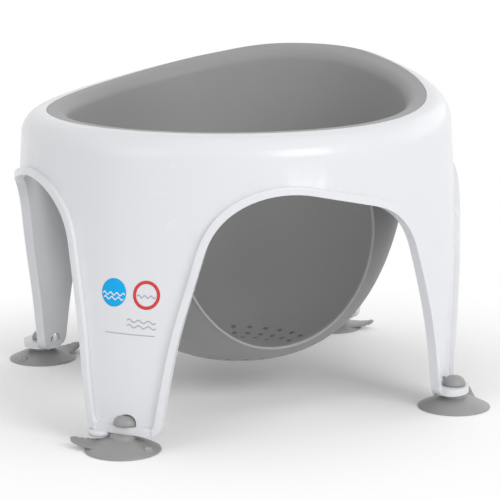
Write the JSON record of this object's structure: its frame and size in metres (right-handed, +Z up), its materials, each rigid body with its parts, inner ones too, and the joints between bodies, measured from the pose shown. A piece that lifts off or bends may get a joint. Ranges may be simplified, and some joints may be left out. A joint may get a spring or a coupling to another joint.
{
  "type": "baby bath seat",
  "caption": "Bath seat for a baby: a round moulded stand on flared legs with suction feet, holding a soft bucket seat with leg openings.",
  "frame": {"origin": "on the floor, under the middle of the whole seat's box", "axes": "+Z up; the baby faces -Y, so the front leg is at -Y and the high back rim at +Y; +X is the baby's left"},
  "size_m": [0.376, 0.414, 0.2333],
  "materials": {
    "frame_white": "glossy",
    "seat_grey": "soft matte",
    "cup_grey": "satin"
  },
  "bodies": {
    "root": {"stand": "frame_white", "seat": "seat_grey", "suction_cup_front": "cup_grey", "suction_cup_right": "cup_grey", "suction_cup_back": "cup_grey", "suction_cup_left": "cup_grey"}
  },
  "joints": []
}
